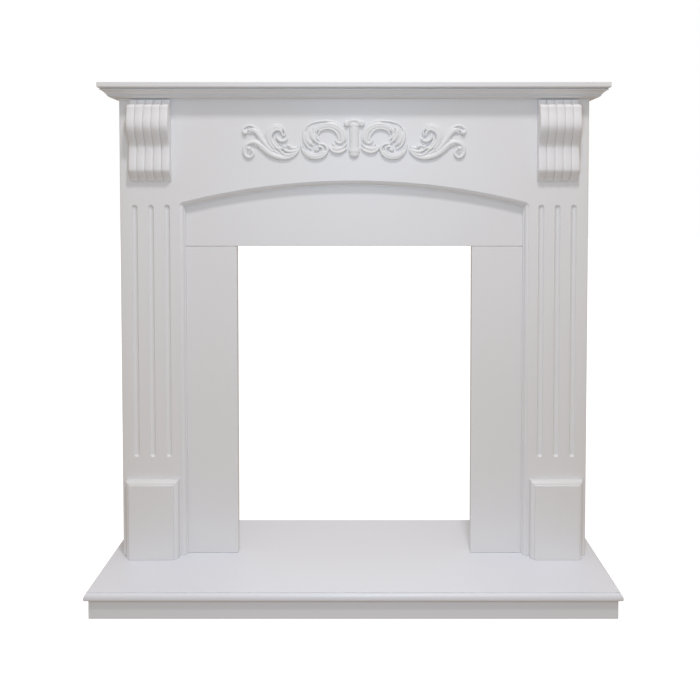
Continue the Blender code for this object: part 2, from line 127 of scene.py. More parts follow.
def addBlock(name, low, high):
    clearSelection()
    middle = [(a + b) / 2 for a, b in zip(low, high)]
    bpy.ops.mesh.primitive_cube_add(size=1, location=middle)
    piece = bpy.context.object
    piece.scale = [b - a for a, b in zip(low, high)]
    settle(piece)
    nameIt(piece, name)
    return piece


def easeArrises(piece, width, segments=2, angle=40):
    # The slight rounding that sanding and paint leave on every corner
    applyModifier(piece, "BEVEL", {
        "width": width, "segments": segments, "limit_method": "ANGLE",
        "angle_limit": math.radians(angle), "miter_outer": "MITER_ARC",
    })


def shadeSmooth(piece, angle):
    choose(piece)
    bpy.ops.object.shade_smooth_by_angle(angle=math.radians(angle))


def roundOver(width, height, steps, flatFirst):
    # (inset, rise) steps of a quarter round; flatFirst starts it flat, otherwise it starts upright
    points = []
    for step in range(steps + 1):
        angle = math.pi / 2 * step / steps
        pair = (math.sin(angle), 1 - math.cos(angle))
        inset, rise = pair if flatFirst else pair[::-1]
        points.append((inset * width, rise * height))
    return [(b[0] - a[0], b[1] - a[1]) for a, b in zip(points, points[1:])]


def workFace(piece, steps):
    # Steps a picked face inwards and out, one inset after another
    for inset, rise in steps:
        bpy.ops.mesh.inset(thickness=inset, depth=rise, use_even_offset=True)


def trimAt(place, direction):
    # Cuts away all that lies past a plane and closes the cut
    bpy.ops.mesh.select_all(action="SELECT")
    bpy.ops.mesh.bisect(plane_co=place, plane_no=direction, use_fill=True, clear_outer=True)


def makeNormalsRight():
    bpy.ops.mesh.select_all(action="SELECT")
    bpy.ops.mesh.remove_doubles(threshold=plan["weld"])
    bpy.ops.mesh.normals_make_consistent(inside=False)


# Camera, at the height and place that the picture was taken from
cameraSettings = {
    "sensor": 36.0,
    "place": (0.0211, -1.8227, 0.8539),
    "lookDown": 2.0383,
    "lens": 42.466,
    "shiftAcross": -0.0198,
    "shiftUp": -0.1771,
}


def placeCamera(settings):
    data = bpy.data.cameras.new("studioCamera")
    data.lens = settings["lens"]
    data.sensor_width = settings["sensor"]
    data.shift_x = settings["shiftAcross"]
    data.shift_y = settings["shiftUp"]
    camera = bpy.data.objects.new("studioCamera", data)
    camera.location = settings["place"]
    camera.rotation_euler = (math.radians(90 - settings["lookDown"]), 0, 0)
    bpy.context.scene.collection.objects.link(camera)
    bpy.context.scene.camera = camera


placeCamera(cameraSettings)


# Shader helpers: sockets that can be added and multiplied, and one way to add any other node
class Wire:
    def __init__(self, tree, socket):
        self.tree = tree
        self.socket = socket

    def combine(self, operation, first, second):
        return addNode(self.tree, "ShaderNodeMath", {"operation": operation}, {0: first, 1: second})

    def __add__(self, other):
        return self.combine("ADD", self, other)

    def __radd__(self, other):
        return self.combine("ADD", other, self)

    def __sub__(self, other):
        return self.combine("SUBTRACT", self, other)

    def __rsub__(self, other):
        return self.combine("SUBTRACT", other, self)

    def __mul__(self, other):
        return self.combine("MULTIPLY", self, other)

    def __rmul__(self, other):
        return self.combine("MULTIPLY", other, self)


def addNode(tree, kind, settings, values, output=0):
    node = tree.nodes.new(kind)
    for key, value in settings.items():
        setattr(node, key, value)
    for key, value in values.items():
        if isinstance(value, Wire):
            tree.links.new(value.socket, node.inputs[key])
        else:
            node.inputs[key].default_value = value
    return Wire(tree, node.outputs[output])


# The slight unevenness that all the paints share
textureSettings = {
    "cloud": (4.0, 3.0, 0.55),  # scale, detail and roughness
    "mottle": (60.0, 2.0, 0.5),
    "grain": (2.0, 0.6),  # detail and roughness; each paint has its own scale
    "tone": (0.7, 0.2, 0.1),  # shares of cloud, mottle and grain
    "sheen": (0.4, 0.6),  # shares of cloud and mottle
    "mottleRelief": 0.8,
}

# The paints: satin white on board; on the hearth a lighter, colder white that paints in the cool light
# falling on it; softer on the ornament
paintSettings = {
    "whitePaint": {
        "slot": "white_paint", "light": (0.81, 0.805, 0.805), "shade": (0.775, 0.77, 0.77),
        "roughness": 0.42, "spread": 0.10, "grainSize": 0.0011, "grainHeight": 0.00002,
    },
    # Hearth white: its extra lightness and cold tint are painted cool light
    "hearthWhiteWithPaintedCoolLight": {
        "slot": "white_hearth_paint", "light": (0.825, 0.84, 0.885), "shade": (0.795, 0.81, 0.855),
        "roughness": 0.36, "spread": 0.10, "grainSize": 0.0012, "grainHeight": 0.00002,
    },
    "whiteOrnamentPaint": {
        "slot": "white_ornament_paint", "light": (0.81, 0.81, 0.81), "shade": (0.77, 0.77, 0.77),
        "roughness": 0.45, "spread": 0.08, "grainSize": 0.0009, "grainHeight": 0.00001,
    },
}


def addNoise(tree, place, scale, detail, roughness):
    return addNode(tree, "ShaderNodeTexNoise", {}, {
        "Vector": place, "Scale": scale, "Detail": detail, "Roughness": roughness})


def makePaint(name, settings):
    material = bpy.data.materials.new(name)
    material.use_nodes = True
    tree = material.node_tree
    shader = tree.nodes["Principled BSDF"]
    place = addNode(tree, "ShaderNodeTexCoord", {}, {}, "Object")
    cloud = addNoise(tree, place, *textureSettings["cloud"])
    mottle = addNoise(tree, place, *textureSettings["mottle"])
    grain = addNoise(tree, place, 1 / settings["grainSize"], *textureSettings["grain"])
    cloudShare, mottleShare, grainShare = textureSettings["tone"]
    tone = cloud * cloudShare + mottle * mottleShare + grain * grainShare
    colour = addNode(tree, "ShaderNodeMix", {"data_type": "RGBA"}, {
        0: tone, 6: (*settings["shade"], 1.0), 7: (*settings["light"], 1.0)}, 2)
    cloudShare, mottleShare = textureSettings["sheen"]
    sheen = mottle * mottleShare + cloud * cloudShare - 0.5
    roughness = sheen * settings["spread"] + settings["roughness"]
    relief = addNode(tree, "ShaderNodeBump", {}, {
        "Strength": 1.0, "Distance": settings["grainHeight"],
        "Height": grain + mottle * textureSettings["mottleRelief"]})
    tree.links.new(colour.socket, shader.inputs["Base Color"])
    tree.links.new(roughness.socket, shader.inputs["Roughness"])
    tree.links.new(relief.socket, shader.inputs["Normal"])
    return material


paints = {name: makePaint(name, settings) for name, settings in paintSettings.items()}
print("paints are mixed")


def finishPiece(piece, paint, *replaced):
    piece.data.materials.clear()
    piece.data.materials.append(paints[paint])
    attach(piece, "root")
    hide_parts(*replaced)


# Plain boards keep their solids and only take the paint
plainBoards = {
    "whitePaint": ("insert_header", "insert_left", "insert_right", "side_panel_left", "side_panel_right"),
    "hearthWhiteWithPaintedCoolLight": ("hearth_riser_front", "hearth_riser_left", "hearth_riser_right"),
}


def paintPlainBoards(boards):
    for paint, names in boards.items():
        for name in names:
            nodes[name].data.materials.clear()
            nodes[name].data.materials.append(paints[paint])


paintPlainBoards(plainBoards)
print("plain boards are painted")


# Hearth slab, its edge eased below, with a quarter round and a thin step up to the top
slabSettings = {
    "half": 0.544, "front": -0.190, "bottom": 0.0398, "thickness": 0.016,
    "roundWidth": 0.0065, "roundHeight": 0.0095, "roundSteps": 12, "step": 0.0020,
    "easeWidth": 0.0020, "easeHeight": 0.0035, "easeSteps": 6, "arris": 0.0003,
    "smoothUnder": 20, "spare": 0.05,  # spare runs into the wall and is trimmed off there
}


def buildSlab(settings):
    square = settings["thickness"] - settings["step"] - settings["roundHeight"]
    slab = addBlock("hearthSlab",
                    (-settings["half"], settings["front"], settings["bottom"] + settings["easeHeight"]),
                    (settings["half"], plan["back"] + settings["spare"], settings["bottom"] + square))
    openPiece(slab)
    pickFaces(slab, lambda face: face.normal.z < -plan["facing"])
    workFace(slab, roundOver(settings["easeWidth"], settings["easeHeight"], settings["easeSteps"], False))
    pickFaces(slab, lambda face: face.normal.z > plan["facing"])
    workFace(slab, roundOver(settings["roundWidth"], settings["roundHeight"], settings["roundSteps"], False))
    workFace(slab, [(0, settings["step"])])
    trimAt((0, plan["back"], 0), (0, 1, 0))
    closePiece()
    easeArrises(slab, settings["arris"])
    shadeSmooth(slab, settings["smoothUnder"])
    finishPiece(slab, "hearthWhiteWithPaintedCoolLight", "hearth_slab")


buildSlab(slabSettings)
print("hearth slab is made")


# Shelf, a thin board with its lower corner rounded over
shelfSettings = {
    "half": 0.550, "front": -0.0515, "bottom": 1.0864, "thickness": 0.012,
    "round": 0.004, "roundSteps": 10, "arris": 0.0007, "smoothUnder": 20, "spare": 0.05,
}


def buildShelf(settings):
    top = settings["bottom"] + settings["thickness"]
    shelf = addBlock("mantelShelf",
                     (-settings["half"], settings["front"], settings["bottom"] + settings["round"]),
                     (settings["half"], plan["back"] + settings["spare"], top))
    openPiece(shelf)
    pickFaces(shelf, lambda face: face.normal.z < -plan["facing"])
    workFace(shelf, roundOver(settings["round"], settings["round"], settings["roundSteps"], False))
    trimAt((0, plan["back"], 0), (0, 1, 0))
    closePiece()
    easeArrises(shelf, settings["arris"])
    shadeSmooth(shelf, settings["smoothUnder"])
    finishPiece(shelf, "whitePaint", "mantel_shelf")


buildShelf(shelfSettings)
print("shelf is made")


# Plinth blocks: a square edge, a quarter round and a thin step up to the face
blockSettings = {
    "width": 0.115, "height": 0.173, "thickness": 0.022,
    "roundWidth": 0.0085, "roundHeight": 0.0090, "roundSteps": 12, "step": 0.0045,
    "arris": 0.0006, "smoothUnder": 20, "spare": 0.04,  # spare runs into the hearth and is trimmed off there
}


def buildPlinthBlock(name, centre, settings, replaced):
    square = settings["thickness"] - settings["step"] - settings["roundHeight"]
    half = settings["width"] / 2
    block = addBlock(name, (centre - half, onlayBack - square, plan["bodyBottom"] - settings["spare"]),
                     (centre + half, onlayBack, plan["bodyBottom"] + settings["height"]))
    openPiece(block)
    pickFaces(block, lambda face: face.normal.y < -plan["facing"])
    workFace(block, roundOver(settings["roundWidth"], settings["roundHeight"], settings["roundSteps"], False))
    workFace(block, [(0, settings["step"])])
    trimAt((0, 0, plan["bodyBottom"]), (0, 0, -1))
    closePiece()
    easeArrises(block, settings["arris"])
    shadeSmooth(block, settings["smoothUnder"])
    finishPiece(block, "whitePaint", replaced)


buildPlinthBlock("plinthBlockLeft", -plan["rowCentre"], blockSettings, "plinth_block_left")
buildPlinthBlock("plinthBlockRight", plan["rowCentre"], blockSettings, "plinth_block_right")
print("plinth blocks are made")


# Face board: frieze and legs in one sheet, the arch with its worked edge, three flutes in each leg
faceSettings = {
    "halfArch": 0.372, "crown": 0.8785, "rise": 0.0465, "archSteps": 40, "cornerSteps": 10,
    "edgeWidth": 0.0105, "edgeQuirk": 0.0022, "edgeFillet": 0.0022, "edgeDepth": 0.0105, "edgeSteps": 12,
    "edgeClear": 0.00005,  # leaves the board's edge a hair inside the solid's
    "fluteWidth": 0.0127, "fluteDepth": 0.0045, "flutePitch": 0.0355, "fluteSides": 40,
    "fluteBottom": 0.2780, "fluteTop": 0.8363, "outerRound": 0.003, "outerSteps": 5,
    "arris": 0.0005, "smoothUnder": 25,
    "cutBelow": 0.06, "cutAhead": 0.01, "cutPast": 0.03,  # how far the cutter stands out of the board
}


def archOutline(settings, offset, foot):
    # Half of the opening's edge from its foot to the crown, then mirrored
    half = settings["halfArch"]
    radius = (half ** 2 + settings["rise"] ** 2) / (2 * settings["rise"])
    lean = math.asin(half / radius)
    spring = settings["crown"] - settings["rise"]
    points = [(-half - offset, foot)]
    corners = settings["cornerSteps"]
    for step in range(corners + 1):
        angle = math.pi - (math.pi / 2 - lean) * step / corners
        points.append((-half + offset * math.cos(angle), spring + offset * math.sin(angle)))
    for step in range(1, settings["archSteps"]):
        angle = -lean + lean * step / settings["archSteps"]
        points.append(((radius + offset) * math.sin(angle),
                       settings["crown"] - radius + (radius + offset) * math.cos(angle)))
    mirrored = [(-x, z) for x, z in reversed(points)]
    return points + [(0, settings["crown"] + offset)] + mirrored


def addArchCutter(settings):
    start = plan["faceFront"] - settings["cutAhead"]
    outline = archOutline(settings, settings["edgeWidth"], plan["bodyBottom"] - settings["cutBelow"])
    clearSelection()
    bpy.ops.mesh.primitive_circle_add(vertices=len(outline), radius=1, fill_type="NGON")
    cutter = bpy.context.object
    nameIt(cutter, "archCutter")
    for vertex, (x, z) in zip(cutter.data.vertices, outline):
        vertex.co = (x, start, z)
    openPiece(cutter)
    pickFaces(cutter, allFaces)
    bpy.ops.mesh.normals_make_consistent(inside=False)
    bpy.ops.mesh.extrude_region_move(
        TRANSFORM_OT_translate={"value": (0, settings["cutAhead"] + settings["edgeQuirk"], 0)})
    width = settings["edgeWidth"] - settings["edgeFillet"]
    rise = settings["edgeDepth"] - settings["edgeQuirk"]
    bpy.ops.mesh.select_all(action="SELECT")
    bpy.ops.mesh.normals_make_consistent(inside=False)
    pickFaces(cutter, lambda face: face.normal.y > plan["facing"])
    workFace(cutter, roundOver(width, rise, settings["edgeSteps"], True))
    workFace(cutter, [(settings["edgeFillet"] - settings["edgeClear"], 0)])
    bpy.ops.mesh.extrude_region_move(TRANSFORM_OT_translate={"value": (0, settings["cutPast"], 0)})
    makeNormalsRight()
    closePiece()
    return cutter


def addFluteCutters(settings):
    # A ball drawn out to a bar with round ends, once for each flute
    width = settings["fluteWidth"]
    depth = settings["fluteDepth"]
    radius = (width ** 2 / 4 + depth ** 2) / (2 * depth)
    middle = (settings["fluteTop"] + settings["fluteBottom"]) / 2
    halfRun = (settings["fluteTop"] - settings["fluteBottom"]) / 2 - width / 2
    clearSelection()
    bpy.ops.mesh.primitive_uv_sphere_add(
        segments=settings["fluteSides"], ring_count=settings["fluteSides"] // 2, radius=radius,
        location=(0, plan["faceFront"] - radius + depth, middle))
    bar = bpy.context.object
    settle(bar)
    openPiece(bar)
    pickFaces(bar, lambda face: face.calc_center_median().z > middle)
    bpy.ops.mesh.extrude_region_move(TRANSFORM_OT_translate={"value": (0, 0, halfRun)})
    pickFaces(bar, lambda face: face.calc_center_median().z < middle)
    bpy.ops.transform.translate(value=(0, 0, -halfRun))
    closePiece()
    bars = []
    for side in (-1, 1):
        for row in (-1, 0, 1):
            copy = bar.copy()
            copy.data = bar.data.copy()
            copy.location.x = side * (plan["rowCentre"] + row * settings["flutePitch"])
            bpy.context.scene.collection.objects.link(copy)
            settle(copy)
            bars.append(copy)
    bpy.data.objects.remove(bar)
    return bars


def isFrontCorner(edge):
    # An upright edge on the board's front
    first, second = (vertex.co for vertex in edge.verts)
    upright = abs(first.x - second.x) + abs(first.y - second.y) < plan["near"]
    return upright and max(first.y, second.y) < plan["faceFront"] + plan["near"]


def buildFaceBoard(settings):
    board = addBlock("faceBoard", (-plan["halfBody"], plan["faceFront"], plan["bodyBottom"]),
                     (plan["halfBody"], plan["faceFront"] + plan["faceThickness"], plan["bodyTop"]))
    openPiece(board)
    pickEdges(board, isFrontCorner)
    bpy.ops.mesh.bevel(offset=settings["outerRound"], segments=settings["outerSteps"], affect="EDGES")
    closePiece()
    cutter = joinPieces([addArchCutter(settings)] + addFluteCutters(settings))
    applyModifier(board, "BOOLEAN", {"operation": "DIFFERENCE", "solver": "EXACT", "object": cutter})
    bpy.data.objects.remove(cutter)
    easeArrises(board, settings["arris"], segments=1)
    shadeSmooth(board, settings["smoothUnder"])
    finishPiece(board, "whitePaint", "face_board")


buildFaceBoard(faceSettings)
print("face board is cut")


# Moulding under the shelf: fillet, cove, a narrow band and an ovolo between quirks, and a thin foot,
# mitred at the corners. A reach is measured out from the body, a drop down from its top.
mouldingSettings = {
    "height": 0.0225, "reach": 0.0325, "topQuirk": 0.0014, "topFillet": 0.0032, "topDepth": 0.0035,
    "midReach": 0.0222, "midDrop": 0.0112, "quirk": 0.0014, "quirkDepth": 0.0030, "bandReach": 0.0206,
    "bandHeight": 0.0016, "ovoloReach": 0.0190, "footReach": 0.0055, "footRecess": 0.0010, "foot": 0.0026,
    "cove": 0.0012, "ovolo": -0.0011, "arcSteps": 12,
    "arris": 0.0002, "arrisOver": 35, "smoothUnder": 25, "spare": 0.01,
}


def shallowArc(start, end, bulge, steps):
    # Points after start on a curve to end that bulges to one side in its middle
    run = Vector(end) - Vector(start)
    side = Vector((-run.y, run.x)).normalized()
    points = []
    for step in range(1, steps + 1):
        share = step / steps
        points.append(tuple(Vector(start) + run * share + side * bulge * 4 * share * (1 - share)))
    return points


def mouldingSection(settings):
    reach = settings["reach"]
    recess = reach - settings["topDepth"]
    points = [(plan["gap"], 0), (recess, 0), (recess, settings["topQuirk"]),
              (reach, settings["topQuirk"]), (reach, settings["topFillet"])]
    points += shallowArc(points[-1], (settings["midReach"], settings["midDrop"]), settings["cove"],
                         settings["arcSteps"])
    drop = settings["midDrop"]
    inner = settings["midReach"] - settings["quirkDepth"]
    for out, rise in ((settings["bandReach"], settings["bandHeight"]), (settings["ovoloReach"], 0)):
        # A quirk, and below it the band or the head of the ovolo
        points += [(inner, drop), (inner, drop + settings["quirk"]), (out, drop + settings["quirk"])]
        drop += settings["quirk"] + rise
        if rise:
            points.append((out, drop))
        inner = out - settings["quirkDepth"]
    foot = settings["height"] - settings["foot"]
    points += shallowArc(points[-1], (settings["footReach"], foot), settings["ovolo"], settings["arcSteps"])
    return points + [(settings["footRecess"], foot), (settings["footRecess"], settings["height"]),
                     (plan["gap"], settings["height"])]


def buildMoulding(name, settings, startAt, run, trims, replaced):
    section = mouldingSection(settings)
    clearSelection()
    bpy.ops.mesh.primitive_circle_add(vertices=len(section), radius=1, fill_type="NGON")
    length = bpy.context.object
    nameIt(length, name)
    for vertex, (out, drop) in zip(length.data.vertices, section):
        vertex.co = startAt(out, plan["bodyTop"] - drop)
    openPiece(length)
    pickFaces(length, allFaces)
    bpy.ops.mesh.extrude_region_move(TRANSFORM_OT_translate={"value": run})
    makeNormalsRight()
    for place, direction in trims:
        trimAt(place, direction)
    makeNormalsRight()
    closePiece()
    easeArrises(length, settings["arris"], segments=1, angle=settings["arrisOver"])
    shadeSmooth(length, settings["smoothUnder"])
    finishPiece(length, "whitePaint", replaced)


def buildMouldings(settings):
    half = plan["halfBody"]
    front = plan["faceFront"]
    spare = settings["reach"] + settings["spare"]
    buildMoulding("shelfMouldingFront", settings, lambda out, z: (-half - spare, front - out, z),
                  (2 * (half + spare), 0, 0),
                  (((-half, front, 0), (-1, 1, 0)), ((half, front, 0), (1, 1, 0))), "shelf_moulding_front")
    mitre = plan["gap"] * math.sqrt(2)
    for side, sign in (("Left", -1), ("Right", 1)):
        buildMoulding("shelfMoulding" + side, settings,
                      lambda out, z, s=sign: (s * (half + out), front - spare, z),
                      (0, plan["back"] - front + spare, 0),
                      (((sign * half, front + mitre, 0), (-sign, -1, 0)),), "shelf_moulding_" + side.lower())


buildMouldings(mouldingSettings)
print("mouldings are run")


# Corbels: five full reeds that leave a thin neck, swell, draw in and turn under at the toe.
# Each named place is (reach, drop), out from the face board and down from the head.
corbelSettings = {
    "width": 0.089, "height": 0.1765, "reeds": 5, "relief": 0.0030, "fullness": 0.6,
    "stepsAcross": 12, "shoulderSteps": 10, "stretchSteps": (14, 24, 12, 16), "smoothUnder": 45,
    "neck": (0.0090, 0.0120), "shoulder": (0.0285, 0.0175), "bulge": (0.0345, 0.0550),
    "waist": (0.0130, 0.1050), "toe": (0.0175, 0.1500), "foot": 0.0015, "head": 1.0633,
}


def corbelRun(settings):
    # (reach, drop) down the front of one reed, from the head to the foot
    rows = [(settings["neck"][0], 0), settings["neck"]]
    width = settings["shoulder"][0] - settings["neck"][0]
    height = settings["shoulder"][1] - settings["neck"][1]
    for inset, rise in roundOver(width, height, settings["shoulderSteps"], True):
        rows.append((rows[-1][0] + inset, rows[-1][1] + rise))
    footDrop = settings["height"] - settings["relief"]
    stops = (settings["shoulder"], settings["bulge"], settings["waist"], settings["toe"],
             (settings["foot"], footDrop))
    for start, end, steps in zip(stops, stops[1:], settings["stretchSteps"]):
        for step in range(1, steps + 1):
            share = step / steps
            ease = (1 - math.cos(math.pi * share)) / 2
            rows.append((start[0] + (end[0] - start[0]) * ease, start[1] + (end[1] - start[1]) * share))
    return rows + [(0, footDrop)]


def isOpenFront(edge):
    # An edge of the carved sheet that doesn't yet lie on the face board
    return edge.is_boundary and max(vertex.co.y for vertex in edge.verts) < onlayBack - plan["weld"]


def buildCorbel(settings):
    rows = corbelRun(settings)
    across = settings["stepsAcross"]
    columns = settings["reeds"] * across
    clearSelection()
    bpy.ops.mesh.primitive_grid_add(x_subdivisions=columns, y_subdivisions=len(rows) - 1, size=1)
    corbel = bpy.context.object
    reed = settings["width"] / settings["reeds"]
    headRows = 2  # the neck's front, which stays upright
    for vertex in corbel.data.vertices:
        column = round((vertex.co.x + 0.5) * columns)
        row = round((0.5 - vertex.co.y) * (len(rows) - 1))
        angle = math.pi * (column % across) / across
        x = -settings["width"] / 2 + reed * (column // across + (1 - math.cos(angle)) / 2)
        height = settings["relief"] * math.sin(angle) ** settings["fullness"]
        reach, drop = rows[row]
        run = Vector(rows[min(row + 1, len(rows) - 1)]) - Vector(rows[max(row - 1, 0)])
        outward = Vector((run.y, -run.x)).normalized()
        if row < headRows:
            outward = Vector((1, 0))
        elif reach <= settings["foot"] + plan["weld"]:
            outward = Vector((0, 1))
        vertex.co = (x, onlayBack - reach - outward.x * height, settings["head"] - drop - outward.y * height)
    openPiece(corbel)
    pickEdges(corbel, isOpenFront)
    bpy.ops.mesh.extrude_region_move(TRANSFORM_OT_translate={"value": (0, 0, 0)})
    bpy.ops.transform.resize(value=(1, 0, 1), center_override=(0, onlayBack, 0))
    bpy.ops.mesh.select_all(action="SELECT")
    bpy.ops.mesh.remove_doubles(threshold=plan["weld"])
    pickEdges(corbel, lambda edge: edge.is_boundary)
    bpy.ops.mesh.edge_face_add()
    makeNormalsRight()
    closePiece()
    shadeSmooth(corbel, settings["smoothUnder"])
    return corbel


def placeCorbels(settings):
    pattern = buildCorbel(settings)
    for side, sign in (("Left", -1), ("Right", 1)):
        corbel = pattern.copy()
        corbel.data = pattern.data.copy()
        nameIt(corbel, "corbel" + side)
        corbel.location.x = sign * plan["corbelCentre"]
        bpy.context.scene.collection.objects.link(corbel)
        settle(corbel)
        finishPiece(corbel, "whitePaint", "corbel_" + side.lower())
    bpy.data.objects.remove(pattern)


placeCorbels(corbelSettings)
print("corbels are carved")


# Ornament: carved ridges drawn on squares from the centre line and the foot, over low rounded bodies
ornamentSettings = {
    "square": 0.490 / 225, "foot": 0.93328, "flatness": 0.85, "voxel": 0.00082,
    "bend": 5, "tubeSteps": 3, "thinnest": 0.15, "bossSides": 24, "bossRings": 16,
    "vaseLift": 0.6, "vaseFlatness": 0.55, "vaseSides": 48,
    "softness": 0.5, "softTimes": 2, "smoothUnder": 60,
    "space": ((-0.4, 0.80), (0.4, 1.06)), "spaceDepth": 0.05,  # the room that it is kept to, before its back
}

